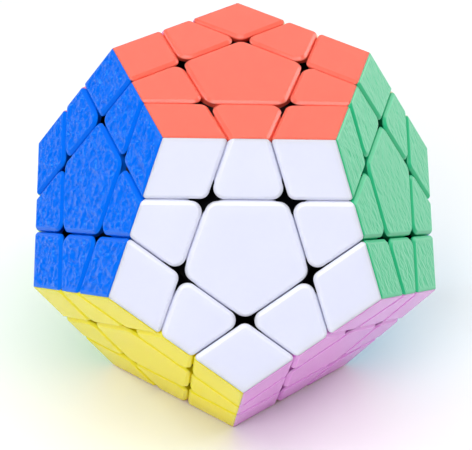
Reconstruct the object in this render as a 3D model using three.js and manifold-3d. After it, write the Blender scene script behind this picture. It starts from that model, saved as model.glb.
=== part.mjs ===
// A dodecahedron twisty puzzle: twelve coloured faces, each with one centre, five edges and five corners.
//
// Millimetres, +Z up. The origin is the middle of the bottom face, which the puzzle stands on. Its coral
// face is on top (+Z) and its white face is at the front (-Y).
//
// How it holds together: every layer is cut from the rest by a surface of revolution about its face's
// axis. Outside the radius SHELF that surface is a plane, and inside it is a wider cone. So each corner
// has a foot that reaches under its three edges, and each edge has a foot that reaches under its two
// centres. The centres are screwed to the core through springs, and hold everything else down.
//
// All twelve layers can turn. The pieces of three layers that share none (coral, yellow and sky) are
// kept loose here, with their centres on their own screws and springs. The nine other centres turn with
// no layer of these three, so they are one solid with the core that they are screwed to.
import * as THREE from "three";
import { ConvexGeometry } from "three/addons/geometries/ConvexGeometry.js";
import { mergeVertices } from "three/addons/utils/BufferGeometryUtils.js";
import Module from "manifold-3d";

// ---- Driving dimensions ----
const EDGE = 30; // the dodecahedron's edge
const CORNER_SHARE = 0.395; // how much of an edge each corner tile takes
const GAP = 0.3; // between two pieces, across a cut
const SHELF = 31.3; // radius of the slit between the feet and the heads above them
const SHELF_GAP = 0.4;
const FOOT_FLOOR = 27.6; // radius of the feet's inner faces
const FOOT_CONE = 47; // degrees from a layer's axis to its cut, below the shelf

// How far each kind of tile is cut back where four tiles meet, which leaves the dark openings there.
const CENTRE_CHAMFER = 0.55;
const EDGE_CHAMFER = 1.4;
const CORNER_CHAMFER = 0.55;

// The block between an edge's head and its foot: across the edge, along it, and its two radii.
const NECK = { across: 7.6, along: 9, from: 29.6, to: 32.6 };

// A centre's hub, from the core outwards along its axis.
const HUB_BOTTOM = 16.4;
const HUB_FLOOR = 18.4; // the spring presses on it
const HUB_TOP = 32.4; // buried in the tile
const HUB_RADIUS = 4.8;
const HUB_BORE = 3.4;
const HUB_BORE_TOP = 31.2;
const HUB_SCREW_HOLE = 1.7;
const FLANGE_INNER = 25.4; // the two radii of the dished flange that backs the edges' feet
const FLANGE_OUTER = 27.2;
const FLANGE_CONE = 29.5; // degrees from the axis to the flange's rim

// The core, and what is screwed into it.
const CORE_RADIUS = 11;
const POST_RADIUS = 4;
const POST_TOP = 16;
const POST_BORE = 1.5;
const SCREW_TIP = 6;
const SCREW_RADIUS = 1.15;
const SCREW_HEAD = 27; // underside of the head
const SCREW_HEAD_TOP = 28.8;
const SCREW_HEAD_RADIUS = 2.7;
const SCREW_RECESS = { length: 3.2, width: 0.7, depth: 0.9 };
const SPRING_RADIUS = 2.3; // to the middle of the wire
const SPRING_WIRE = 0.3; // the wire's own radius
const SPRING_TURNS = 5;

// Facets of the round surfaces.
const CONE_SEGMENTS = 30;
const HUB_SEGMENTS = 10;
const SMALL_SEGMENTS = 10;
const BALL_DETAIL = 2;
const SPRING_STEPS_A_TURN = 8;

// ---- The dodecahedron ----
const GOLDEN = (1 + Math.sqrt(5)) / 2;
const FACE_DISTANCE = (EDGE * GOLDEN ** 2) / (2 * Math.sqrt(3 - GOLDEN)); // middle to face
const NEIGHBOUR_ANGLE = Math.atan(2); // between the axes of two faces that share an edge
const TILE_DEPTH = CORNER_SHARE * EDGE * Math.sin(radians(108)); // from a face's rim to a cut
const CUT = FACE_DISTANCE - TILE_DEPTH * Math.sin(NEIGHBOUR_ANGLE); // middle to a cut plane
const FAR = 60; // clear of the whole puzzle
const UP = new THREE.Vector3(0, 0, 1);

// Opposite faces: coral and orange, white and grey, green and lime, cream and yellow, pink and violet,
// blue and sky.
const RING_ABOVE = NEIGHBOUR_ANGLE;
const RING_BELOW = Math.PI - NEIGHBOUR_ANGLE;
const FACES = {
  coral: { axis: direction(0, 0), colour: 0xfe8270 },
  white: { axis: direction(-90, RING_ABOVE), colour: 0xe8eafe },
  green: { axis: direction(-18, RING_ABOVE), colour: 0x3cc98a },
  cream: { axis: direction(54, RING_ABOVE), colour: 0xf4e6c0 },
  pink: { axis: direction(126, RING_ABOVE), colour: 0xf07fae },
  blue: { axis: direction(198, RING_ABOVE), colour: 0x227ff6 },
  violet: { axis: direction(-54, RING_BELOW), colour: 0xcf9acd },
  sky: { axis: direction(18, RING_BELOW), colour: 0x7fd0f2 },
  grey: { axis: direction(90, RING_BELOW), colour: 0x9a9fa8 },
  lime: { axis: direction(162, RING_BELOW), colour: 0xa8dc4a },
  yellow: { axis: direction(234, RING_BELOW), colour: 0xeeda47 },
  orange: { axis: direction(0, Math.PI), colour: 0xff9a3c },
};
const TURNING = ["coral", "yellow", "sky"];

const names = Object.keys(FACES);
const axisOf = (face) => FACES[face].axis;
const adjacent = (a, b) => Math.abs(axisOf(a).angleTo(axisOf(b)) - NEIGHBOUR_ANGLE) < 0.01;
const after = (face) => names.slice(names.indexOf(face) + 1);
const EDGES = names.flatMap((a) => after(a).filter((b) => adjacent(a, b)).map((b) => [a, b]));
const CORNERS = EDGES.flatMap(([a, b]) =>
  after(b).filter((c) => adjacent(a, c) && adjacent(b, c)).map((c) => [a, b, c]),
);

function radians(degrees) {
  return (degrees * Math.PI) / 180;
}

function direction(azimuth, fromTop) {
  return new THREE.Vector3().setFromSphericalCoords(1, fromTop, radians(azimuth + 90)).applyAxisAngle(
    new THREE.Vector3(1, 0, 0),
    Math.PI / 2,
  );
}

// The point at given distances along three faces' axes.
function pointWith(faces, distances) {
  const rows = faces.flatMap((face) => axisOf(face).toArray());
  return new THREE.Vector3(...distances).applyMatrix3(new THREE.Matrix3(...rows).invert());
}

// ---- Solids ----
const wasm = await Module();
wasm.setup();

function solidOf(geometry) {
  const bare = geometry.index ? geometry.toNonIndexed() : geometry.clone();
  bare.deleteAttribute("normal");
  bare.deleteAttribute("uv");
  const merged = mergeVertices(bare, 1e-4);
  const mesh = new wasm.Mesh({
    numProp: 3,
    vertProperties: merged.attributes.position.array,
    triVerts: new Uint32Array(merged.index.array),
  });
  return new wasm.Manifold(mesh);
}

function geometryOf(solid) {
  const mesh = solid.getMesh();
  const geometry = new THREE.BufferGeometry();
  geometry.setAttribute("position", new THREE.BufferAttribute(mesh.vertProperties, 3));
  geometry.setIndex(new THREE.BufferAttribute(mesh.triVerts, 1));
  return geometry;
}

const joined = (solids) => solids.reduce((all, next) => all.add(next));
const cutBy = (solid, cutters) => cutters.reduce((left, cutter) => left.subtract(cutter), solid);

// A solid of revolution about +Z from [radius, height] points, up its outside and down its inside.
function turned(profile, segments) {
  const points = profile.map(([radius, height]) => new THREE.Vector2(radius, height));
  return new THREE.LatheGeometry(points, segments).rotateX(Math.PI / 2);
}

function along(geometry, axis) {
  const turn = new THREE.Quaternion().setFromUnitVectors(UP, axis);
  return geometry.clone().applyQuaternion(turn);
}

// Everything further than distance along normal.
function beyond(normal, distance) {
  const block = new THREE.BoxGeometry(4 * FAR, 4 * FAR, FAR).translate(0, 0, distance + FAR / 2);
  return solidOf(along(block, normal));
}

// A ball whose corners are at radius, or one whose flats are.
const BALL = new THREE.IcosahedronGeometry(1, BALL_DETAIL);
const ballInside = (radius) => solidOf(BALL.clone().scale(radius, radius, radius));
const ballAround = (radius) => ballInside(radius / flatsOf(BALL));

// How far a ball's nearest flat is from its middle.
function flatsOf(geometry) {
  const corner = (i) => new THREE.Vector3().fromBufferAttribute(geometry.attributes.position, i);
  const starts = Array.from({ length: geometry.attributes.position.count / 3 }, (_, i) => 3 * i);
  const distances = starts.map((i) => {
    const flat = new THREE.Plane().setFromCoplanarPoints(corner(i), corner(i + 1), corner(i + 2));
    return Math.abs(flat.constant);
  });
  return Math.min(...distances);
}

// What a face's layer holds below the shelf, grown by grow.
function footCone(face, grow) {
  const cone = radians(FOOT_CONE);
  const tip = -grow / Math.sin(cone);
  const profile = [
    [0, tip],
    [(SHELF - tip) * Math.tan(cone), SHELF],
    [0, SHELF],
  ];
  return solidOf(along(turned(profile, CONE_SEGMENTS), axisOf(face)));
}

// ---- The three kinds of outer piece, each made once, in the place of its first copy ----
const BODY = new ConvexGeometry(CORNERS.map((faces) => pointWith(faces, Array(3).fill(FACE_DISTANCE))));

// The walls of a piece inside the layers of own and outside those of others: outward normal and distance.
function wallsOf(own, others) {
  return [
    ...own.map((face) => ({ face, normal: axisOf(face).clone().negate(), distance: -CUT - GAP / 2 })),
    ...others.map((face) => ({ face, normal: axisOf(face), distance: CUT - GAP / 2 })),
  ];
}

// Cuts back a tile's corner, the one on a face between two walls, by depth.
function chamferCut(tile, [first, second], depth) {
  const inward = [first, second].map(({ face, normal, distance }) => distance * axisOf(face).dot(normal));
  const tip = pointWith([tile, first.face, second.face], [FACE_DISTANCE, ...inward]);
  const normal = first.normal.clone().add(second.normal).normalize();
  return beyond(normal, normal.dot(tip) - depth);
}

// A piece's head: the dodecahedron between its walls, with its tiles' corners cut back.
function head(walls, tileCorners, depth) {
  const cuts = walls.map(({ normal, distance }) => beyond(normal, distance));
  const wallOf = (face) => walls.find((wall) => wall.face === face);
  const chamfers = tileCorners.map(([tile, ...faces]) => chamferCut(tile, faces.map(wallOf), depth));
  return cutBy(solidOf(BODY), [...cuts, ...chamfers]);
}

// A piece's foot: between the floor and the shelf, inside its own layers' cones and outside the others'.
function foot(own, others) {
  const inside = own.map((face) => footCone(face, -GAP / 2));
  const outside = others.map((face) => footCone(face, GAP / 2));
  const block = inside.reduce((all, cone) => all.intersect(cone), ballInside(SHELF - SHELF_GAP / 2));
  return cutBy(block, [...outside, ballAround(FOOT_FLOOR)]);
}

function cornerPiece([a, b, c]) {
  const walls = wallsOf([a, b, c], []);
  const tileCorners = [[a, b, c], [b, c, a], [c, a, b]];
  return head(walls, tileCorners, CORNER_CHAMFER).add(foot([a, b, c], []));
}

function edgePiece([a, b]) {
  const ends = names.filter((face) => adjacent(face, a) && adjacent(face, b));
  const tileCorners = ends.flatMap((end) => [[a, b, end], [b, a, end]]);
  const outward = axisOf(a).clone().add(axisOf(b)).normalize();
  const across = axisOf(a).clone().sub(axisOf(b)).normalize();
  const lengthwise = new THREE.Vector3().crossVectors(outward, across);
  const neck = new THREE.BoxGeometry(NECK.across, NECK.along, NECK.to - NECK.from)
    .translate(0, 0, (NECK.to + NECK.from) / 2)
    .applyMatrix4(new THREE.Matrix4().makeBasis(across, lengthwise, outward));
  const hollowed = head(wallsOf([a, b], ends), tileCorners, EDGE_CHAMFER)
    .subtract(ballAround(SHELF + SHELF_GAP / 2));
  return joined([hollowed, solidOf(neck), foot([a, b], ends)]);
}

// A centre: its tile, and its hub. A loose hub is bored for its screw and its spring.
function centrePiece(face, profile) {
  const others = names.filter((other) => adjacent(face, other));
  const tileCorners = EDGES.filter((edge) => edge.every((other) => others.includes(other)));
  const dished = head(wallsOf([], others), tileCorners.map((edge) => [face, ...edge]), CENTRE_CHAMFER)
    .subtract(ballAround(SHELF + SHELF_GAP / 2))
    .subtract(beyond(axisOf(face).clone().negate(), 0));
  return dished.add(solidOf(along(turned(profile, HUB_SEGMENTS), axisOf(face))));
}

// The outline of a hub and its flange, from its foot up to the tile.
function hubOutline(bottom) {
  const onSphere = (radius, angle) => [radius * Math.sin(angle), radius * Math.cos(angle)];
  const rim = radians(FLANGE_CONE);
  const root = (radius) => Math.asin(HUB_RADIUS / radius);
  return [
    [HUB_RADIUS, bottom],
    onSphere(FLANGE_INNER, root(FLANGE_INNER)),
    onSphere(FLANGE_INNER, rim),
    onSphere(FLANGE_OUTER, rim),
    onSphere(FLANGE_OUTER, root(FLANGE_OUTER)),
    [HUB_RADIUS, HUB_TOP],
  ];
}

const BORED_HUB = [
  [HUB_SCREW_HOLE, HUB_BOTTOM],
  ...hubOutline(HUB_BOTTOM),
  [0, HUB_TOP],
  [0, HUB_BORE_TOP],
  [HUB_BORE, HUB_BORE_TOP],
  [HUB_BORE, HUB_FLOOR],
  [HUB_SCREW_HOLE, HUB_FLOOR],
  [HUB_SCREW_HOLE, HUB_BOTTOM],
];
const SOLID_HUB = [[0, POST_TOP - 1], ...hubOutline(POST_TOP - 1), [0, HUB_TOP]];

// ---- The inside ----
// A pan-head screw along +Z with a cross recess.
function screw() {
  const profile = [
    [0, SCREW_TIP],
    [SCREW_RADIUS, SCREW_TIP],
    [SCREW_RADIUS, SCREW_HEAD],
    [SCREW_HEAD_RADIUS, SCREW_HEAD],
    [SCREW_HEAD_RADIUS, SCREW_HEAD_TOP],
    [0, SCREW_HEAD_TOP],
  ];
  const { length, width, depth } = SCREW_RECESS;
  const bars = [[length, width], [width, length]].map(([x, y]) =>
    solidOf(new THREE.BoxGeometry(x, y, 2 * depth).translate(0, 0, SCREW_HEAD_TOP)),
  );
  return geometryOf(cutBy(solidOf(turned(profile, SMALL_SEGMENTS)), bars));
}

class Helix extends THREE.Curve {
  constructor(radius, bottom, top, turns) {
    super();
    Object.assign(this, { radius, bottom, top, turns });
  }
  getPoint(t, target = new THREE.Vector3()) {
    const angle = 2 * Math.PI * this.turns * t;
    const height = THREE.MathUtils.lerp(this.bottom, this.top, t);
    return target.set(this.radius * Math.cos(angle), this.radius * Math.sin(angle), height);
  }
}

// The spring between the hub's floor and the screw's head, along +Z.
function spring() {
  const clear = GAP + SPRING_WIRE;
  const path = new Helix(SPRING_RADIUS, HUB_FLOOR + clear, SCREW_HEAD - clear, SPRING_TURNS);
  const section = new THREE.Shape().absarc(0, 0, SPRING_WIRE, 0, 2 * Math.PI);
  const steps = SPRING_TURNS * SPRING_STEPS_A_TURN;
  return new THREE.ExtrudeGeometry(section, { steps, curveSegments: 3, extrudePath: path });
}

// The core: a ball with twelve posts. Three are bored for the loose screws, and nine carry centres.
function coreWithFixedCentres() {
  const fixed = names.filter((face) => !TURNING.includes(face));
  const post = turned([[0, 0], [POST_RADIUS, 0], [POST_RADIUS, POST_TOP], [0, POST_TOP]], SMALL_SEGMENTS);
  const bottom = SCREW_TIP - 1;
  const bore = turned([[0, bottom], [POST_BORE, bottom], [POST_BORE, FAR], [0, FAR]], SMALL_SEGMENTS);
  const whole = joined([
    solidOf(new THREE.IcosahedronGeometry(CORE_RADIUS, 1)),
    ...names.map((face) => solidOf(along(post, axisOf(face)))),
    ...fixed.map((face) => centrePiece(face, SOLID_HUB)),
  ]);
  return geometryOf(cutBy(whole, TURNING.map((face) => solidOf(along(bore, axisOf(face))))));
}

// ---- Assembly ----
const puzzle = new THREE.Group();
puzzle.position.z = FACE_DISTANCE;

const plastic = (color) => new THREE.MeshStandardMaterial({ color, roughness: 0.35, metalness: 0 });
const BLACK = plastic(0x101114);
const STEEL = new THREE.MeshStandardMaterial({ color: 0xb9bcc2, roughness: 0.3, metalness: 1 });
const COLOURS = Object.fromEntries(names.map((face) => [face, plastic(FACES[face].colour)]));

function place(name, geometry, material, matrix = new THREE.Matrix4()) {
  const mesh = new THREE.Mesh(geometry, material);
  mesh.name = name;
  mesh.applyMatrix4(matrix);
  puzzle.add(mesh);
}

// The rotation that carries the axes of one pair of faces to those of another pair.
function turnBetween(from, to) {
  const basis = ([a, b]) => {
    const side = new THREE.Vector3().crossVectors(axisOf(a), axisOf(b)).normalize();
    const third = new THREE.Vector3().crossVectors(axisOf(a), side);
    return new THREE.Matrix4().makeBasis(axisOf(a), side, third);
  };
  return basis(to).multiply(basis(from).transpose());
}

// Whether three faces about a corner run the same way round as the first corner's do.
function sameWayRound(corner) {
  const sense = ([a, b, c]) => {
    return Math.sign(new THREE.Vector3().crossVectors(axisOf(a), axisOf(b)).dot(axisOf(c)));
  };
  return sense(corner) === sense(CORNERS[0]);
}

place("core_with_fixed_centres", coreWithFixedCentres(), BLACK);
const SCREW = screw();
const SPRING = spring();
for (const face of TURNING) {
  const upright = new THREE.Matrix4().makeRotationFromQuaternion(
    new THREE.Quaternion().setFromUnitVectors(UP, axisOf(face)),
  );
  place(`centre_${face}`, geometryOf(centrePiece(face, BORED_HUB)), COLOURS[face]);
  place(`screw_${face}`, SCREW, STEEL, upright);
  place(`spring_${face}`, SPRING, STEEL, upright);
}

const EDGE_PIECE = geometryOf(edgePiece(EDGES[0]));
for (const faces of EDGES) {
  place(`edge_${faces.join("_")}`, EDGE_PIECE, COLOURS[faces[0]], turnBetween(EDGES[0], faces));
}

const CORNER_PIECE = geometryOf(cornerPiece(CORNERS[0]));
for (const [a, b, c] of CORNERS) {
  const pair = sameWayRound([a, b, c]) ? [a, b] : [b, a];
  place(`corner_${a}_${b}_${c}`, CORNER_PIECE, COLOURS[a], turnBetween(CORNERS[0], pair));
}

export default puzzle;
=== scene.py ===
# A dodecahedron twisty puzzle, in metres, +Z up, standing on its orange face at z = 0.
#
# Every outer piece is a black foot with coloured shells on it, one shell for each face that it is part of.
# A centre is a black hub under a coloured cap, and its screw and spring hold it to the core.
import math
from collections import namedtuple

import bmesh
import bpy
import numpy as np
from mathutils import Matrix, Vector, noise


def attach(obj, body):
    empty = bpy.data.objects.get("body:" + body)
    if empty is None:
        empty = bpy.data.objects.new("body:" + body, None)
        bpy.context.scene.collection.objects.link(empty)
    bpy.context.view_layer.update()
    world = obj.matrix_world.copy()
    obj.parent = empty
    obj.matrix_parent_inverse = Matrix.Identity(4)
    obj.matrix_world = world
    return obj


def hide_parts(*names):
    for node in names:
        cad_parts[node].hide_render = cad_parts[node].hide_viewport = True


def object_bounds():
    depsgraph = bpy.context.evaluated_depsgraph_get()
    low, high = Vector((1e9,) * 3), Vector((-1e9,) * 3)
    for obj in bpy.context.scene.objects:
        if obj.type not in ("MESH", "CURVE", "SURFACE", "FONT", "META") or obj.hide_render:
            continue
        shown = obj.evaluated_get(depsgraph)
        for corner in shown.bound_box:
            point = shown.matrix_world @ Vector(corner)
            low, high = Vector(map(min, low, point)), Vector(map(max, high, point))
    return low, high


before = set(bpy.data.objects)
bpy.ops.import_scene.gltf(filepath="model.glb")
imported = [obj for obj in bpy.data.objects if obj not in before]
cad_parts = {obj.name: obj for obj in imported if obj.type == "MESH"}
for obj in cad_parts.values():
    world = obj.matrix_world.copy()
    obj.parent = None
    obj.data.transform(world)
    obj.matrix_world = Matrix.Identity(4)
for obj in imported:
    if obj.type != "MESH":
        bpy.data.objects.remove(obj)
cad_low, cad_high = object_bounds()
noise.seed_set(1)  # without a seed, noise_vector is different in each run

# ---- Driving dimensions ----
MM = 0.001
FACE = (cad_high.z - cad_low.z) / 2  # from the puzzle's middle to a face
GOLDEN = (1 + math.sqrt(5)) / 2
EDGE = FACE * 2 * math.sqrt(3 - GOLDEN) / GOLDEN**2  # the dodecahedron's edge
CORNER_SHARE = 0.395  # how much of an edge each corner tile takes
GAP = 0.18 * MM  # between the tiles of neighbouring layers
NEIGHBOUR = math.atan(2)  # between the axes of two faces that share an edge
FIFTH = 2 * math.pi / 5
PENTAGON_CORNER = math.radians(108)
TILE_DEPTH = CORNER_SHARE * EDGE * math.sin(PENTAGON_CORNER)
CUT = FACE - TILE_DEPTH * math.sin(NEIGHBOUR)  # from the middle to a cut plane
APOTHEM = FACE * math.tan(NEIGHBOUR / 2)  # of a face's pentagon
MIDDLE = Vector((0, 0, cad_low.z + FACE))
UP = Vector((0, 0, 1))

SHELF = 31.3 * MM  # radius of the slit between the feet and the heads
SHELF_GAP = 0.4 * MM
FOOT_FLOOR = 27.6 * MM  # radius of the feet's underside
FOOT_CONE = math.radians(47)  # half the angle of the cone that cuts a layer's feet

# ---- The faces ----
# Opposite faces: coral and orange, white and grey, green and lime, cream and yellow, pink and violet,
# blue and sky.
UPPER = NEIGHBOUR  # from +Z to the axes of the five faces round coral
LOWER = math.pi - NEIGHBOUR  # and to those of the five round orange


def direction(azimuth, from_top):
    """The unit vector at an azimuth from +X, in degrees, and an angle from +Z, in radians."""
    around = math.radians(azimuth)
    level = math.sin(from_top)
    return Vector((level * math.cos(around), level * math.sin(around), math.cos(from_top)))


AXES = {
    "coral": direction(0, 0),
    "white": direction(-90, UPPER),
    "green": direction(-18, UPPER),
    "cream": direction(54, UPPER),
    "pink": direction(126, UPPER),
    "blue": direction(198, UPPER),
    "violet": direction(-54, LOWER),
    "sky": direction(18, LOWER),
    "grey": direction(90, LOWER),
    "lime": direction(162, LOWER),
    "yellow": direction(234, LOWER),
    "orange": direction(0, math.pi),
}
NAMES = list(AXES)
TURNING = ("coral", "yellow", "sky")  # faces whose layers turn on joints of their own


def adjacent(a, b):
    return math.isclose(AXES[a].angle(AXES[b]), NEIGHBOUR, abs_tol=0.01)


def after(name):
    return NAMES[NAMES.index(name) + 1:]


EDGES = [(a, b) for a in NAMES for b in after(a) if adjacent(a, b)]
CORNERS = [(a, b, c) for a, b in EDGES for c in after(b) if adjacent(a, c) and adjacent(b, c)]


def body_of(faces):
    """The body that a piece with tiles on these faces rides on."""
    own = [f for f in TURNING if f in faces]
    return own[0] + "_layer" if own else "puzzle"


def in_plane(face, towards):
    """The unit direction in a face's plane towards a neighbour's side."""
    n = AXES[face]
    return (AXES[towards] - n * AXES[towards].dot(n)).normalized()


def neighbours(face):
    """A face's neighbours, anticlockwise as seen from outside, from the first one in NAMES."""
    found = [f for f in NAMES if adjacent(face, f)]
    x = in_plane(face, found[0])
    y = AXES[face].cross(x)

    def fifths_round(other):
        towards = in_plane(face, other)
        return round(math.atan2(towards.dot(y), towards.dot(x)) / FIFTH) % 5

    return sorted(found, key=fifths_round)


def face_frame(face, step):
    """The matrix that carries a tile from its own plane to its face.

    Its z points out of the face, and its x towards the face's neighbour number step.
    """
    z = AXES[face]
    x = in_plane(face, neighbours(face)[step])
    return Matrix.Translation(MIDDLE + z * FACE) @ Matrix((x, z.cross(x), z)).transposed().to_4x4()


# ---- Tile shells ----
# A tile's rim, from its top to its wall: an arc of radius "crease" down to the angle "slope", a straight
# bevel, and an arc of radius "tight" to the wall.
Rim = namedtuple("Rim", "crease slope bevel tight")
# A side of a tile: the direction it faces in the face's plane, its distance from the face's middle, the
# angle from the face's axis to its wall's outward normal, and its rim.
Side = namedtuple("Side", "angle offset lean rim")
# A corner of a tile: its radius in plan, and how much that grows for each unit of depth.
Turn = namedtuple("Turn", "radius growth")

WALL_RIM = Rim(0.3 * MM, math.radians(37), 0.55 * MM, 0.34 * MM)
RIDGE_RIM = Rim(0.8 * MM, NEIGHBOUR / 2, 0.02 * MM, 0.05 * MM)  # two shells share one rounded ridge
SEAM = 0.015 * MM  # half the joint between two shells of one piece
SHELL_DEPTH = 1.8 * MM
WALL_START = 0.06 * MM  # from the rim down to the wall's first ring
LEAST_TURN = 0.03 * MM  # radius of a tile corner in plan
CREASE_STEPS = 3
TIGHT_STEPS = 5
TURN_STEPS = 12
SHELL_SHARP = math.radians(50)  # edges of a shell that turn more than this are sharp


def ridge(step):
    """The side along the dodecahedron's edge, where two shells of one piece meet."""
    return Side(step * FIFTH, APOTHEM - SEAM, math.pi / 2 + NEIGHBOUR / 2, RIDGE_RIM)


def wall_out(step):
    """The side of a tile that lies outside the neighbour's layer."""
    offset = (CUT - GAP / 2 - FACE * math.cos(NEIGHBOUR)) / math.sin(NEIGHBOUR)
    return Side(step * FIFTH, offset, NEIGHBOUR, WALL_RIM)


def wall_in(step):
    """The side of a tile that lies inside the neighbour's layer, facing away from that neighbour."""
    offset = (CUT + GAP / 2 - FACE * math.cos(NEIGHBOUR)) / math.sin(NEIGHBOUR)
    return Side(step * FIFTH + math.pi, -offset, math.pi - NEIGHBOUR, WALL_RIM)


OPENING = 2.0 * MM  # radius of the tile corners round an opening where four tiles meet
CAP_GROWTH = 3.4  # a cap's corners get rounder downwards, which widens the openings under the surface
EDGE_GROWTH = 0.8
NOTCH = Turn(0.8 * MM, 0.0)  # where a ridge meets a wall
TIP = Turn(0.4 * MM, 0.0)  # at a corner of the dodecahedron
TILES = {
    "centre": ([wall_out(k) for k in range(5)], [Turn(OPENING, CAP_GROWTH)] * 5),
    "edge": (
        [ridge(0), wall_out(1), wall_in(0), wall_out(4)],
        [NOTCH, Turn(OPENING, EDGE_GROWTH), Turn(OPENING, EDGE_GROWTH), NOTCH],
    ),
    "corner": (
        [ridge(0), ridge(1), wall_in(0), wall_in(1)],
        [TIP, NOTCH, Turn(OPENING, 0.0), NOTCH],
    ),
}


def rim_points(side):
    """(inset, depth) down a side's rim, from the tile's top to its wall."""
    crease, slope, bevel, tight = side.rim
    points = [
        (crease * math.sin(angle), crease * (1 - math.cos(angle)))
        for angle in np.linspace(0, slope, CREASE_STEPS + 1)
    ]
    across = points[-1][0] + bevel * math.cos(slope) - tight * math.sin(slope)
    down = points[-1][1] + bevel * math.sin(slope) + tight * math.cos(slope)
    for angle in np.linspace(slope, side.lean, TIGHT_STEPS + 1):
        points.append((across + tight * math.sin(angle), down - tight * math.cos(angle)))
    run, drop = points[-1]
    start = run - drop / math.tan(side.lean)
    return [(x - start, depth) for x, depth in points]


def outline(sides, insets, depths, radii, counts):
    """A closed ring of points, with each side moved out by its inset and down to its depth.

    Radii are of the round corner after each side, and counts are the steps along each side.
    """
    arcs = []
    for i, side in enumerate(sides):
        j = (i + 1) % len(sides)
        other = sides[j]
        turn = (other.angle - side.angle) % (2 * math.pi)
        normals = np.array([[math.cos(s.angle), math.sin(s.angle)] for s in (side, other)])
        reach = np.array([side.offset + insets[i], other.offset + insets[j]]) - radii[i]
        centre = np.linalg.solve(normals, reach)
        share = np.linspace(0, 1, TURN_STEPS + 1)
        angles = side.angle + turn * share
        arc = centre + radii[i] * np.stack([np.cos(angles), np.sin(angles)], axis=1)
        arcs.append(np.column_stack([arc, -(depths[i] + (depths[j] - depths[i]) * share)]))
    points = []
    for i, arc in enumerate(arcs):
        before = arcs[i - 1][-1]
        share = np.linspace(0, 1, counts[i] + 1)[1:-1, None]
        points.append(before + (arc[0] - before) * share)
        points.append(arc)
    return np.concatenate(points)


def tile_rings(kind, spacing):
    """The rings of a tile's rim and wall, from the top down.

    Spacing is between points along a side, and 0 keeps each side to one step.
    """
    sides, turns = TILES[kind]
    flat = [0] * len(sides)
    plain = outline(sides, flat, flat, [t.radius for t in turns], [1] * len(sides))
    counts = []
    for i in range(len(sides)):
        start = i * (TURN_STEPS + 1)
        length = np.linalg.norm(plain[start] - plain[start - 1])
        counts.append(max(1, round(length / spacing)) if spacing else 1)
    rings = []
    rims = [rim_points(side) for side in sides]
    for level in zip(*rims):
        insets = [inset for inset, _ in level]
        depths = [depth for _, depth in level]
        means = [(a + b) / 2 for a, b in zip(insets, insets[1:] + insets[:1])]
        radii = [max(t.radius + mean, LEAST_TURN) for t, mean in zip(turns, means)]
        rings.append(outline(sides, insets, depths, radii, counts))
    below = [rim[-1][1] + WALL_START for rim in rims]
    middle = [(depth + SHELL_DEPTH) / 2 for depth in below]
    for level in (below, middle, [SHELL_DEPTH] * len(sides)):
        insets = [d / math.tan(s.lean) for s, d in zip(sides, level)]
        radii = [t.radius + t.growth * d for t, d in zip(turns, level)]
        rings.append(outline(sides, insets, level, radii, counts))
    return rings


def shade(mesh, sharp):
    """Shades a mesh smooth, except at edges that turn more than the angle sharp."""
    mesh.polygons.foreach_set("use_smooth", [True] * len(mesh.polygons))
    mesh.set_sharp_from_angle(angle=sharp)
    mesh.update()


def mesh_of_rings(name, rings, inner):
    """A closed mesh from rings of equal count.

    The inner ones go inwards across the top from rings[0], and the last of rings is the flat bottom.
    """
    stack = list(reversed(inner)) + rings
    count = len(rings[0])
    points = np.concatenate(stack)
    faces = []
    for level in range(len(stack) - 1):
        for i in range(count):
            j = (i + 1) % count
            a, b = level * count, (level + 1) * count
            faces.append((a + i, b + i, b + j, a + j))
    last = (len(stack) - 1) * count
    faces.append(tuple(range(count)))
    faces.append(tuple(last + i for i in reversed(range(count))))
    mesh = bpy.data.meshes.new(name)
    mesh.from_pydata([tuple(p) for p in points], [], faces)
    mesh.validate()
    shade(mesh, SHELL_SHARP)
    return mesh


SUPPORT_INSET = 0.1 * MM


def smooth_tile(kind):
    """A tile shell with a flat top. A ring just inside the rim keeps the top's shading flat."""
    rings = tile_rings(kind, 0)
    middle = rings[0].mean(axis=0)
    spokes = rings[0] - middle
    support = middle + spokes * (1 - SUPPORT_INSET / np.linalg.norm(spokes, axis=1).max())
    return mesh_of_rings(kind + "_shell", rings, [support])


# ---- Relief on the blue and the green tiles ----
RELIEF_GRID = 0.16 * MM
RELIEF_FADE = 0.3 * MM  # from the rim to the full relief
# A relief is bent noise in layers. Scale is its waves per mm up the face, which is towards coral, and across
# it. Bend is how far, in waves, a slower noise shifts it each way, and bend_scale and bend_slice are that
# noise's own.
Relief = namedtuple("Relief", "depth scale bend bend_scale bend_slice layers")
# A layer: how many times finer it is each way, its height as a share of the relief's depth, and where in the
# noise it starts.
Layer = namedtuple("Layer", "finer height start")

LEATHER = Relief(  # soft and crinkled
    depth=0.42 * MM, scale=(0.66, 0.78), bend=(0.4, 0.4), bend_scale=0.5, bend_slice=3.1,
    layers=[Layer((1, 1), 0.85, (0, 0, 0.7)), Layer((2.1, 2.1), 0.45, (9, -4, 5.2))],
)
GRAIN = Relief(  # uneven short streaks, longer up the face than across it
    depth=0.11 * MM, scale=(0.4, 0.85), bend=(0.3, 0.4), bend_scale=0.35, bend_slice=8.0,
    layers=[
        Layer((1, 1), 0.7, (0, 0, 2.0)),
        Layer((1.9, 2.1), 0.5, (5, 0, 6.0)),
        Layer((4, 4.2), 0.25, (0, 0, 4.0)),
    ],
)
RELIEFS = {"blue": LEATHER, "green": GRAIN}


def relief_lift(relief, x, y):
    """How far the relief lifts a point of its face, which is x and y in mm from the face's middle."""
    bend = noise.noise_vector(Vector((x * relief.bend_scale, y * relief.bend_scale, relief.bend_slice)))
    u = x * relief.scale[0] + relief.bend[0] * bend.x
    v = y * relief.scale[1] + relief.bend[1] * bend.y
    lift = 0
    for finer, height, start in relief.layers:
        place = Vector((u * finer[0] + start[0], v * finer[1] + start[1], start[2]))
        lift += height * noise.noise(place)
    return relief.depth * lift


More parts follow.
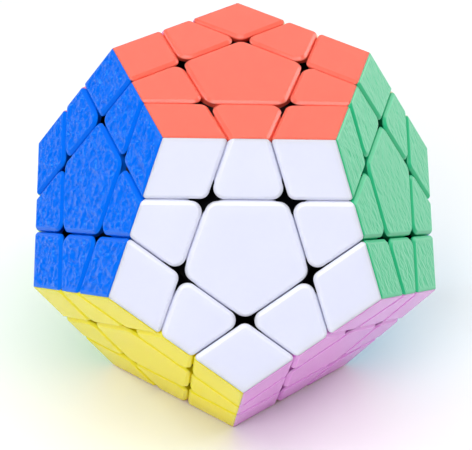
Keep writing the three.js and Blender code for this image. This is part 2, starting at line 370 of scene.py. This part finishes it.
def relief_tile(kind, step, face):
    """A tile shell whose top is a fine grid with the face's relief, which runs on from tile to tile."""
    rings = tile_rings(kind, RELIEF_GRID)
    middle = rings[0].mean(axis=0)
    reach = np.linalg.norm(rings[0] - middle, axis=1)
    steps = math.ceil(reach.max() / RELIEF_GRID)
    turn = step * FIFTH
    inner = []
    for k in range(1, steps):
        share = 1 - k / steps
        points = middle + (rings[0] - middle) * share
        fade = np.clip((1 - share) * reach.min() / RELIEF_FADE, 0, 1)
        x = (points[:, 0] * math.cos(turn) - points[:, 1] * math.sin(turn)) / MM
        y = (points[:, 0] * math.sin(turn) + points[:, 1] * math.cos(turn)) / MM
        lift = np.array([relief_lift(RELIEFS[face], a, b) for a, b in zip(x, y)])
        points[:, 2] += lift * fade
        inner.append(points)
    return mesh_of_rings(f"{face}_{kind}_shell_{step}", rings, inner)


# ---- Solids for the black parts ----
def link(name, data):
    """Makes an object of a mesh, a light or a camera and puts it in the scene."""
    made = bpy.data.objects.new(name, data)
    bpy.context.scene.collection.objects.link(made)
    return made


def turned(name, profile, segments):
    """A solid of revolution about +Z. Its profile is (radius, height) points, up from axis to axis."""
    points, faces, rows = [], [], []
    for radius, height in profile:
        count = segments if radius else 1
        rows.append(range(len(points), len(points) + count))
        for k in range(count):
            angle = 2 * math.pi * k / segments
            points.append((radius * math.cos(angle), radius * math.sin(angle), height))
    for low, high in zip(rows, rows[1:]):
        for k in range(segments):
            n = (k + 1) % segments
            if len(low) == 1:
                faces.append((low[0], high[n], high[k]))
            elif len(high) == 1:
                faces.append((low[k], low[n], high[0]))
            else:
                faces.append((low[k], low[n], high[n], high[k]))
    mesh = bpy.data.meshes.new(name)
    mesh.from_pydata(points, [], faces)
    mesh.update()
    return mesh


def along(mesh, axis):
    """Turns a mesh so that its +Z points along an axis."""
    mesh.transform(UP.rotation_difference(axis).to_matrix().to_4x4())
    return mesh


def mesh_from(shape, name):
    mesh = bpy.data.meshes.new(name)
    shape.to_mesh(mesh)
    shape.free()
    return mesh


BLOCK = 120 * MM  # a cube that holds the whole puzzle


def convex(name, planes):
    """The solid inside planes, each (outward normal, distance from the puzzle's middle)."""
    shape = bmesh.new()
    bmesh.ops.create_cube(shape, size=BLOCK)
    for normal, distance in planes:
        geometry = shape.verts[:] + shape.edges[:] + shape.faces[:]
        cut = bmesh.ops.bisect_plane(
            shape, geom=geometry, plane_co=normal * distance, plane_no=normal, clear_outer=True
        )
        rim = [e for e in cut["geom_cut"] if isinstance(e, bmesh.types.BMEdge)]
        if rim:
            bmesh.ops.contextual_create(shape, geom=rim)
    bmesh.ops.recalc_face_normals(shape, faces=shape.faces[:])
    return mesh_from(shape, name)


def ball(radius):
    shape = bmesh.new()
    bmesh.ops.create_icosphere(shape, subdivisions=5, radius=radius)
    return mesh_from(shape, "ball")


def boolean(mesh, tools, operation):
    """Joins, cuts or keeps what is common: operation is UNION, DIFFERENCE or INTERSECT."""
    for tool in tools:
        target, cutter = link("target", mesh), link("cutter", tool)
        modifier = target.modifiers.new("cut", "BOOLEAN")
        modifier.operation = operation
        modifier.solver = "EXACT"
        modifier.object = cutter
        depsgraph = bpy.context.evaluated_depsgraph_get()
        mesh = bpy.data.meshes.new_from_object(target.evaluated_get(depsgraph))
        for used in (target, cutter):
            bpy.data.objects.remove(used)
    return mesh


# ---- Feet ----
BLACK_INSET = 0.1 * MM  # the black part's walls lie this far behind the shells' walls
BLACK_TURN = 4.2 * MM  # radius of the feet's corners in plan
HUB_SETBACK = 0.72 * MM  # how much a hub's corners are rounder than its cap's are at the bottom
HUB_TURN = OPENING + CAP_GROWTH * SHELL_DEPTH + HUB_SETBACK
BLACK_TURN_STEPS = 5
BLACK_TOP = FACE - SHELL_DEPTH - SEAM
INNER_SHARP = math.radians(30)  # edges of a black or metal part that turn more than this are sharp
CONE_TOP = SHELF + 2 * MM
CONE_SEGMENTS = 120


def walls_of(own, others):
    """The walls of a head, by face: inside the layers of its own faces and outside the others' layers."""
    inside = [(-AXES[f], -(CUT + GAP / 2 + BLACK_INSET)) for f in own]
    outside = [(AXES[f], CUT - GAP / 2 - BLACK_INSET) for f in others]
    return dict(zip([*own, *others], inside + outside))


def round_corner(first, second, radius):
    """Planes that round the corner between two walls."""
    (n1, d1), (n2, d2) = first, second
    cosine = n1.dot(n2)
    a, b = d1 - radius, d2 - radius
    inner = (n1 * (a - b * cosine) + n2 * (b - a * cosine)) / (1 - cosine**2)
    made = []
    for k in range(1, BLACK_TURN_STEPS + 1):
        normal = n1.slerp(n2, k / (BLACK_TURN_STEPS + 1)).normalized()
        made.append((normal, normal.dot(inner) + radius))
    return made


def head(name, own, others, corners):
    """The black part of a head: under its shells, between its walls, with rounded tile corners."""
    walls = walls_of(own, others)
    tops = [(AXES[f], BLACK_TOP) for f in own]
    rounds = [plane for a, b in corners for plane in round_corner(walls[a], walls[b], BLACK_TURN)]
    return convex(name, tops + list(walls.values()) + rounds)


def foot_cone(face, grow):
    """The cone about a face's axis that cuts its layer's feet, grown by a clearance."""
    tip = -grow / math.sin(FOOT_CONE)
    profile = [(0, tip), ((CONE_TOP - tip) * math.tan(FOOT_CONE), CONE_TOP), (0, CONE_TOP)]
    return along(turned("cone", profile, CONE_SEGMENTS), AXES[face])


def foot(own, others):
    """A foot between the two spheres, inside its own faces' cones and outside the others'."""
    inside = [foot_cone(f, -GAP / 2) for f in own]
    outside = [foot_cone(f, GAP / 2) for f in others]
    block = boolean(ball(SHELF - SHELF_GAP / 2), inside, "INTERSECT")
    return boolean(block, outside + [ball(FOOT_FLOOR)], "DIFFERENCE")


def corner_foot():
    """The black part of the first corner: a foot under a head."""
    a, b, c = CORNERS[0]
    top = head("corner_foot", (a, b, c), (), [(a, b), (b, c), (c, a)])
    return boolean(top, [foot((a, b, c), ())], "UNION")


NECK_ACROSS = 7.6 * MM
NECK_ALONG = 9.0 * MM
NECK_FROM = 29.6 * MM
NECK_TO = 32.6 * MM


def edge_foot():
    """The black part of the first edge: a foot and a head with the slit between them, joined by a neck."""
    a, b = EDGES[0]
    ends = [f for f in NAMES if adjacent(f, a) and adjacent(f, b)]
    top = head("edge_foot", (a, b), ends, [(f, end) for f in (a, b) for end in ends])
    top = boolean(top, [ball(SHELF + SHELF_GAP / 2)], "DIFFERENCE")
    out = (AXES[a] + AXES[b]).normalized()
    across = (AXES[a] - AXES[b]).normalized()
    lengthwise = out.cross(across)
    neck = convex("neck", [
        (out, NECK_TO), (-out, -NECK_FROM),
        (across, NECK_ACROSS / 2), (-across, NECK_ACROSS / 2),
        (lengthwise, NECK_ALONG / 2), (-lengthwise, NECK_ALONG / 2),
    ])
    return boolean(top, [neck, foot((a, b), ends)], "UNION")


# ---- Hubs, core, screws and springs ----
PAST = 1 * MM  # how far a cutter runs past what it cuts

HUB_BOTTOM = 16.4 * MM
HUB_FLOOR = 18.4 * MM
HUB_RADIUS = 4.8 * MM
HUB_CHAMFER = 0.3 * MM
HUB_BORE = 3.4 * MM
HUB_SCREW_HOLE = 1.7 * MM
PLATE_BOTTOM = 25 * MM  # before its underside is dished
FLARE_START = 28.0 * MM
FLARE_END = 29.6 * MM
FLARE_RADIUS = 7.4 * MM
FLARE_TOP_RADIUS = 8.1 * MM
FLANGE_INNER = 25.4 * MM
FLANGE_OUTER = 27.2 * MM
FLANGE_CONE = math.radians(29.5)  # half the angle of the cone that the flange's rim lies on
FLANGE_NOSE = math.radians(0.8)  # how far its rim's nose runs past the cone
FLANGE_STEPS = 8
HUB_SEGMENTS = 64


def rod(radius, low, high, segments):
    """A cylinder along +Z between two heights."""
    return turned("rod", [(0, low), (radius, low), (radius, high), (0, high)], segments)


def on_sphere(radius, angle):
    """The (radius, height) point on a sphere at an angle from +Z."""
    return (radius * math.sin(angle), radius * math.cos(angle))


def hub():
    """The coral hub: a dished plate under the cap, a tube with a flange, and a bore for screw and spring."""
    others = neighbours("coral")
    walls = walls_of((), others)
    pairs = zip(others, others[1:] + others[:1])
    rounds = [plane for a, b in pairs for plane in round_corner(walls[a], walls[b], HUB_TURN)]
    plate = convex("hub", [(UP, BLACK_TOP), (-UP, -PLATE_BOTTOM)] + list(walls.values()) + rounds)
    plate = boolean(plate, [ball(SHELF + SHELF_GAP / 2)], "DIFFERENCE")

    root = math.asin(HUB_RADIUS / FLANGE_INNER)
    angles = np.linspace(root, FLANGE_CONE, FLANGE_STEPS + 1)
    under = [on_sphere(FLANGE_INNER, angle) for angle in angles]
    nose = [on_sphere((FLANGE_INNER + FLANGE_OUTER) / 2, FLANGE_CONE + FLANGE_NOSE)]
    over = [on_sphere(FLANGE_OUTER, angle) for angle in reversed(angles)]
    end = [(0, HUB_BOTTOM), (HUB_RADIUS - HUB_CHAMFER, HUB_BOTTOM), (HUB_RADIUS, HUB_BOTTOM + HUB_CHAMFER)]
    flare = [(HUB_RADIUS, FLARE_START), (FLARE_RADIUS, FLARE_END), (FLARE_TOP_RADIUS, BLACK_TOP)]
    tube = turned("tube", end + under + nose + over + flare + [(0, BLACK_TOP)], HUB_SEGMENTS)

    bore = rod(HUB_BORE, HUB_FLOOR, FACE, HUB_SEGMENTS)
    hole = rod(HUB_SCREW_HOLE, HUB_BOTTOM - PAST, FACE, HUB_SEGMENTS)
    return boolean(boolean(plate, [tube], "UNION"), [bore, hole], "DIFFERENCE")


CORE_RADIUS = 11 * MM
POST_RADIUS = 4 * MM
POST_TOP = 16 * MM
POST_CHAMFER = 0.4 * MM
POST_BORE = 1.4 * MM
POST_BORE_FLOOR = 5 * MM
POST_BORE_TOP = 20 * MM
SKIRT_RADIUS = 4.8 * MM
SKIRT_START = 10.6 * MM
SKIRT_END = 12.2 * MM
POST_SEGMENTS = 48
BORE_SEGMENTS = 24


def core():
    """A ball with twelve bored posts, each with a skirt at its root."""
    post = [
        (0, 0), (SKIRT_RADIUS, 0), (SKIRT_RADIUS, SKIRT_START), (POST_RADIUS, SKIRT_END),
        (POST_RADIUS, POST_TOP - POST_CHAMFER), (POST_RADIUS - POST_CHAMFER, POST_TOP), (0, POST_TOP),
    ]
    posts = [along(turned("post", post, POST_SEGMENTS), AXES[f]) for f in NAMES]
    bores = [along(rod(POST_BORE, POST_BORE_FLOOR, POST_BORE_TOP, BORE_SEGMENTS), AXES[f]) for f in NAMES]
    return boolean(boolean(ball(CORE_RADIUS), posts, "UNION"), bores, "DIFFERENCE")


SCREW_TIP = 6 * MM
SCREW_TIP_SHARE = 0.5  # the tip's radius as a share of the thread's core
SCREW_RADIUS = 1.15 * MM
SCREW_CORE = 0.95 * MM
SCREW_PITCH = 0.8 * MM
THREAD_RISE = 0.4  # shares of the pitch from a thread's start to its crest and to its end
THREAD_END = 0.8
THREAD_RUNOUT = 0.2 * MM
SCREW_HEAD = 27 * MM
SCREW_HEAD_SIDE = 27.7 * MM
SCREW_HEAD_TOP = 28.8 * MM
SCREW_HEAD_RADIUS = 2.7 * MM
SCREW_HEAD_FLAT = 0.55  # the flat on the head as a share of its radius
SCREW_HEAD_STEPS = 6
SCREW_SEGMENTS = 48
CROSS_REACH = 1.6 * MM
CROSS_HALF_WIDTH = 0.35 * MM
CROSS_DEPTH = 0.9 * MM
CROSS_TOP = 30 * MM


def screw():
    """A threaded pan-head screw along +Z, with a cross recess."""
    profile = [(0, SCREW_TIP), (SCREW_CORE * SCREW_TIP_SHARE, SCREW_TIP)]
    z = SCREW_TIP + SCREW_PITCH
    while z < POST_TOP + PAST:
        crest, end = z + SCREW_PITCH * THREAD_RISE, z + SCREW_PITCH * THREAD_END
        profile += [(SCREW_CORE, z), (SCREW_RADIUS, crest), (SCREW_CORE, end)]
        z += SCREW_PITCH
    profile += [(SCREW_RADIUS, z + THREAD_RUNOUT), (SCREW_RADIUS, SCREW_HEAD)]
    profile.append((SCREW_HEAD_RADIUS, SCREW_HEAD))
    for angle in np.linspace(0, math.pi / 2, SCREW_HEAD_STEPS + 1)[:-1]:
        radius = SCREW_HEAD_RADIUS * (SCREW_HEAD_FLAT + (1 - SCREW_HEAD_FLAT) * math.cos(angle))
        profile.append((radius, SCREW_HEAD_SIDE + (SCREW_HEAD_TOP - SCREW_HEAD_SIDE) * math.sin(angle)))
    profile.append((0, SCREW_HEAD_TOP))
    bars = []
    x, y = Vector((1, 0, 0)), Vector((0, 1, 0))
    for half_x, half_y in ((CROSS_REACH, CROSS_HALF_WIDTH), (CROSS_HALF_WIDTH, CROSS_REACH)):
        sides = [(x, half_x), (-x, half_x), (y, half_y), (-y, half_y)]
        ends = [(UP, CROSS_TOP), (-UP, CROSS_DEPTH - SCREW_HEAD_TOP)]
        bars.append(convex("bar", sides + ends))
    return boolean(turned("screw", profile, SCREW_SEGMENTS), bars, "DIFFERENCE")


SPRING_RADIUS = 2.3 * MM
SPRING_WIRE = 0.3 * MM
SPRING_TURNS = 5
SPRING_END = 0.5  # turns at each end that lie flat
SPRING_CLEAR = 0.3 * MM
TURN_SEGMENTS = 28
WIRE_SEGMENTS = 12


def spring():
    """A coil spring along +Z, as a closed tube along a helix with flat ends."""
    low = HUB_FLOOR + SPRING_CLEAR + SPRING_WIRE
    high = SCREW_HEAD - SPRING_CLEAR - SPRING_WIRE
    steps = SPRING_TURNS * TURN_SEGMENTS
    points, faces = [], []
    for i in range(steps + 1):
        turns = i / TURN_SEGMENTS
        rise = np.clip((turns - SPRING_END) / (SPRING_TURNS - 2 * SPRING_END), 0, 1)
        out = Vector((math.cos(2 * math.pi * turns), math.sin(2 * math.pi * turns), 0))
        centre = out * SPRING_RADIUS + UP * (low + (high - low) * rise)
        for k in range(WIRE_SEGMENTS):
            around = 2 * math.pi * k / WIRE_SEGMENTS
            points.append(centre + (out * math.cos(around) + UP * math.sin(around)) * SPRING_WIRE)
    for i in range(steps):
        for k in range(WIRE_SEGMENTS):
            n = (k + 1) % WIRE_SEGMENTS
            a, b = i * WIRE_SEGMENTS, (i + 1) * WIRE_SEGMENTS
            faces.append((a + k, b + k, b + n, a + n))
    faces.append(tuple(range(WIRE_SEGMENTS)))
    faces.append(tuple(steps * WIRE_SEGMENTS + k for k in reversed(range(WIRE_SEGMENTS))))
    mesh = bpy.data.meshes.new("spring")
    mesh.from_pydata([tuple(p) for p in points], [], faces)
    return mesh


# ---- Materials ----
def node(tree, kind, **values):
    made = tree.nodes.new(kind)
    for key, value in values.items():
        if key in made.inputs:
            made.inputs[key].default_value = value
        else:
            setattr(made, key, value)
    return made


def new_material(name):
    made = bpy.data.materials.new(name)
    made.use_nodes = True
    return made, made.node_tree, made.node_tree.nodes["Principled BSDF"]


def mottle(tree, shader, scale, low, high):
    """Lets a shader's colour wander between two, and returns the coordinates and the noise that do it."""
    where = node(tree, "ShaderNodeTexCoord")
    wander = node(tree, "ShaderNodeTexNoise", Scale=scale, Detail=3.0)
    tree.links.new(where.outputs["Object"], wander.inputs["Vector"])
    ramp = node(tree, "ShaderNodeValToRGB")
    ramp.color_ramp.elements[0].color = (*low, 1)
    ramp.color_ramp.elements[1].color = (*high, 1)
    tree.links.new(wander.outputs["Fac"], ramp.inputs["Fac"])
    tree.links.new(ramp.outputs["Color"], shader.inputs["Base Color"])
    return where, wander


CLEAR = (1, 1, 1)
GLOW = 0.9
RELIEF_GLOW = 0.1  # little, so that the relief stays crisp
GLOW_DEPTH = 1.5 * MM  # how far light spreads inside the coloured plastic
DRIFT_SCALE = 90.0  # of the slow changes in colour and polish
COLOUR_DRIFT = (0.98, 1.02)
POLISH_DRIFT = (0.93, 1.08)
SKIN_SCALE = 5200.0  # of the fine moulded skin
SKIN_HEIGHT = 0.006 * MM
SKIN_STRENGTH = 0.3
# A plastic's looks: gloss and tint are the strength and colour of its reflections, and glow is how much of
# its light spreads below the surface.
Plastic = namedtuple("Plastic", "colour roughness gloss tint glow", defaults=(0.25, 0.5, CLEAR, GLOW))


def plastic(name, looks):
    """Moulded plastic: its colour and polish drift a little, and it has a fine skin."""
    made, tree, shader = new_material(name)
    low, high = (tuple(min(1.0, c * share) for c in looks.colour) for share in COLOUR_DRIFT)
    where, drift = mottle(tree, shader, DRIFT_SCALE, low, high)
    polish = node(tree, "ShaderNodeMapRange")
    polish.inputs["To Min"].default_value = looks.roughness * POLISH_DRIFT[0]
    polish.inputs["To Max"].default_value = looks.roughness * POLISH_DRIFT[1]
    tree.links.new(drift.outputs["Fac"], polish.inputs["Value"])
    tree.links.new(polish.outputs["Result"], shader.inputs["Roughness"])
    skin = node(tree, "ShaderNodeTexNoise", Scale=SKIN_SCALE, Detail=2.0)
    tree.links.new(where.outputs["Object"], skin.inputs["Vector"])
    bump = node(tree, "ShaderNodeBump", Strength=SKIN_STRENGTH, Distance=SKIN_HEIGHT)
    tree.links.new(skin.outputs["Fac"], bump.inputs["Height"])
    tree.links.new(bump.outputs["Normal"], shader.inputs["Normal"])
    shader.inputs["Specular IOR Level"].default_value = looks.gloss
    shader.inputs["Specular Tint"].default_value = (*looks.tint, 1)
    shader.inputs["Subsurface Weight"].default_value = looks.glow
    shader.inputs["Subsurface Radius"].default_value = (1.0, 1.0, 1.0)
    shader.inputs["Subsurface Scale"].default_value = GLOW_DEPTH
    return made


STEEL_DARK = (0.42, 0.43, 0.45)
STEEL_LIGHT = (0.66, 0.67, 0.69)
STEEL_SCALE = 2500.0
STEEL_ROUGHNESS = 0.28


def steel():
    """Plated steel, a little mottled."""
    made, tree, shader = new_material("steel")
    shader.inputs["Metallic"].default_value = 1.0
    shader.inputs["Roughness"].default_value = STEEL_ROUGHNESS
    mottle(tree, shader, STEEL_SCALE, STEEL_DARK, STEEL_LIGHT)
    return made


LOOKS = {
    "coral": Plastic((0.96, 0.14, 0.088)),
    "white": Plastic((0.75, 0.765, 0.96)),
    "green": Plastic((0.012, 0.46, 0.20), roughness=0.30, glow=RELIEF_GLOW),
    "cream": Plastic((0.86, 0.73, 0.45)),
    "pink": Plastic((0.84, 0.16, 0.36)),
    "blue": Plastic((0.0003, 0.13, 0.72), roughness=0.2, gloss=0.14, tint=(0.1, 0.8, 1.0), glow=RELIEF_GLOW),
    "violet": Plastic((0.80, 0.31, 0.78)),
    "sky": Plastic((0.16, 0.58, 0.86)),
    "grey": Plastic((0.27, 0.30, 0.34)),
    "lime": Plastic((0.34, 0.66, 0.05)),
    "yellow": Plastic((0.98, 0.77, 0.004), gloss=0.3),
    "orange": Plastic((0.95, 0.27, 0.03)),
}
PLASTICS = {face: plastic(face + "_plastic", looks) for face, looks in LOOKS.items()}
BLACK = plastic("black_plastic", Plastic((0.004, 0.004, 0.005), roughness=0.45, gloss=0.2, glow=0.0))
STEEL = steel()


# ---- Assembly ----
def add(name, mesh, material, body, matrix, replaced):
    """Places a piece, gives it its material, hangs it on the body it rides on, and hides the part of
    model.glb that it stands for.
    """
    data = mesh.copy()
    data.materials.clear()
    data.materials.append(material)
    made = link(name, data)
    made.matrix_world = matrix
    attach(made, body)
    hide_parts(replaced)
    return made


def add_tile(kind, face, step, name, body, replaced):
    """Adds a shell or a cap to a face, turned towards the face's neighbour number step."""
    mesh = relief_tile(kind, step, face) if face in RELIEFS else SMOOTH[kind]
    add(name, mesh, PLASTICS[face], body, face_frame(face, step), replaced)


def basis(a, b):
    """The matrix of the directions that two faces' axes give."""
    side = AXES[a].cross(AXES[b]).normalized()
    return Matrix((AXES[a], side, AXES[a].cross(side))).transposed()


def turn_between(start, end):
    """The matrix that carries a black part from between two faces to between two others."""
    turn = basis(*end) @ basis(*start).transposed()
    return Matrix.Translation(MIDDLE) @ turn.to_4x4()


def anticlockwise(faces):
    """Whether a corner's three faces go anticlockwise round it, as seen from outside."""
    a, b, c = (AXES[f] for f in faces)
    return a.cross(b).dot(c) > 0


SMOOTH = {kind: smooth_tile(kind) for kind in TILES}
BLACK_PARTS = {"edge": edge_foot(), "corner": corner_foot(), "hub": hub(), "core": core()}
METAL_PARTS = {"screw": screw(), "spring": spring()}
for mesh in [*BLACK_PARTS.values(), *METAL_PARTS.values()]:
    shade(mesh, INNER_SHARP)

CORE_NODE = "core_with_fixed_centres"
add("core", BLACK_PARTS["core"], BLACK, "puzzle", Matrix.Translation(MIDDLE), CORE_NODE)
for face in NAMES:
    loose = face in TURNING
    body = body_of([face])
    stands_for = "centre_" + face if loose else CORE_NODE
    placed = turn_between(("coral", "white"), (face, neighbours(face)[0]))
    add_tile("centre", face, 0, f"centre_{face}_cap", body, stands_for)
    add(f"centre_{face}_hub", BLACK_PARTS["hub"], BLACK, body, placed, stands_for)
    for part, mesh in METAL_PARTS.items():
        replaced = f"{part}_{face}" if loose else CORE_NODE
        add(f"centre_{face}_{part}", mesh, STEEL, "puzzle", placed, replaced)

for a, b in EDGES:
    name = f"edge_{a}_{b}"
    body = body_of((a, b))
    placed = turn_between(EDGES[0], (a, b))
    add(name + "_foot", BLACK_PARTS["edge"], BLACK, body, placed, name)
    for face, other in ((a, b), (b, a)):
        add_tile("edge", face, neighbours(face).index(other), f"{name}_shell_{face}", body, name)

for faces in CORNERS:
    name = "corner_" + "_".join(faces)
    body = body_of(faces)
    a, b, c = faces
    same_way = anticlockwise(faces) == anticlockwise(CORNERS[0])
    placed = turn_between(CORNERS[0][:2], (a, b) if same_way else (b, a))
    add(name + "_foot", BLACK_PARTS["corner"], BLACK, body, placed, name)
    for face in faces:
        ring = neighbours(face)
        steps = [ring.index(other) for other in faces if other != face]
        first = next(step for step in steps if (step + 1) % 5 in steps)
        add_tile("corner", face, first, f"{name}_shell_{face}", body, name)

# ---- Floor ----
FLOOR_REACH = 3.0
FLOOR_GAP = 0.05 * MM
FLOOR_COLOUR = (0.86, 0.86, 0.86, 1)
FLOOR_ROUGHNESS = 0.3
floor_mesh = bpy.data.meshes.new("floor")
floor_corners = [(x * FLOOR_REACH, y * FLOOR_REACH, 0) for x, y in ((-1, -1), (1, -1), (1, 1), (-1, 1))]
floor_mesh.from_pydata(floor_corners, [], [(0, 1, 2, 3)])
floor = link("floor", floor_mesh)
floor.location.z = cad_low.z - FLOOR_GAP
floor_material, _, floor_shader = new_material("pale_floor")
floor_shader.inputs["Base Color"].default_value = FLOOR_COLOUR
floor_shader.inputs["Roughness"].default_value = FLOOR_ROUGHNESS
floor_mesh.materials.append(floor_material)

# ---- Light ----
WORLD_COLOUR = (1, 1, 1, 1)
WORLD_STRENGTH = 0.32
world = bpy.data.worlds.new("studio")
bpy.context.scene.world = world
world.use_nodes = True
background = world.node_tree.nodes["Background"]
background.inputs["Color"].default_value = WORLD_COLOUR
background.inputs["Strength"].default_value = WORLD_STRENGTH


def softbox(name, azimuth, elevation, distance, size, power, colour=(1, 1, 1)):
    """An area light that looks at the puzzle. Azimuth 0 is the front, at -Y, and 90 is at +X.

    Angles are in degrees, the distance and the size, (width, height), in metres, and the power in watts.
    """
    a, e = math.radians(azimuth), math.radians(elevation)
    out = Vector((math.sin(a) * math.cos(e), -math.cos(a) * math.cos(e), math.sin(e)))
    lamp = bpy.data.lights.new(name, "AREA")
    lamp.shape = "RECTANGLE"
    lamp.size, lamp.size_y = size
    lamp.energy = power
    lamp.color = colour
    made = link(name, lamp)
    made.location = MIDDLE + out * distance
    made.rotation_euler = out.to_track_quat("Z", "Y").to_euler()
    made.visible_camera = False


COOL = (0.6, 0.85, 1.0)
softbox("top_light", azimuth=0, elevation=74, distance=0.6, size=(0.9, 0.25), power=2.9)
softbox("left_light", azimuth=-115, elevation=26, distance=0.7, size=(0.16, 0.16), power=1.6, colour=COOL)
softbox("front_light", azimuth=-32, elevation=42, distance=0.7, size=(0.22, 0.22), power=1.6)
softbox("back_light", azimuth=180, elevation=39, distance=0.7, size=(0.5, 0.5), power=0.45)
softbox("right_light", azimuth=120, elevation=14, distance=0.5, size=(0.35, 0.35), power=1.1)

# ---- Camera ----
VIEW_AZIMUTH = math.radians(4.686)
VIEW_DOWN = math.radians(38.815)
VIEW_ROLL = math.radians(3.453)
VIEW_FROM = Vector((-0.5923, -7.3161, 5.8253)) * EDGE  # from the puzzle's middle
VIEW_LENS = 108.58
VIEW_SENSOR = 36
VIEW_CLIP = 0.01
camera_data = bpy.data.cameras.new("camera")
camera_data.sensor_width = VIEW_SENSOR
camera_data.lens = VIEW_LENS
camera_data.clip_start = VIEW_CLIP
camera = link("camera", camera_data)
forward = Vector((
    math.sin(VIEW_AZIMUTH) * math.cos(VIEW_DOWN),
    math.cos(VIEW_AZIMUTH) * math.cos(VIEW_DOWN),
    -math.sin(VIEW_DOWN),
))
level = Vector((math.cos(VIEW_AZIMUTH), -math.sin(VIEW_AZIMUTH), 0))
right = Matrix.Rotation(-VIEW_ROLL, 3, forward) @ level
upward = right.cross(forward)
turn = Matrix((right, upward, -forward)).transposed()
camera.matrix_world = Matrix.Translation(MIDDLE + VIEW_FROM) @ turn.to_4x4()
bpy.context.scene.camera = camera
bpy.context.scene.view_settings.view_transform = "Standard"
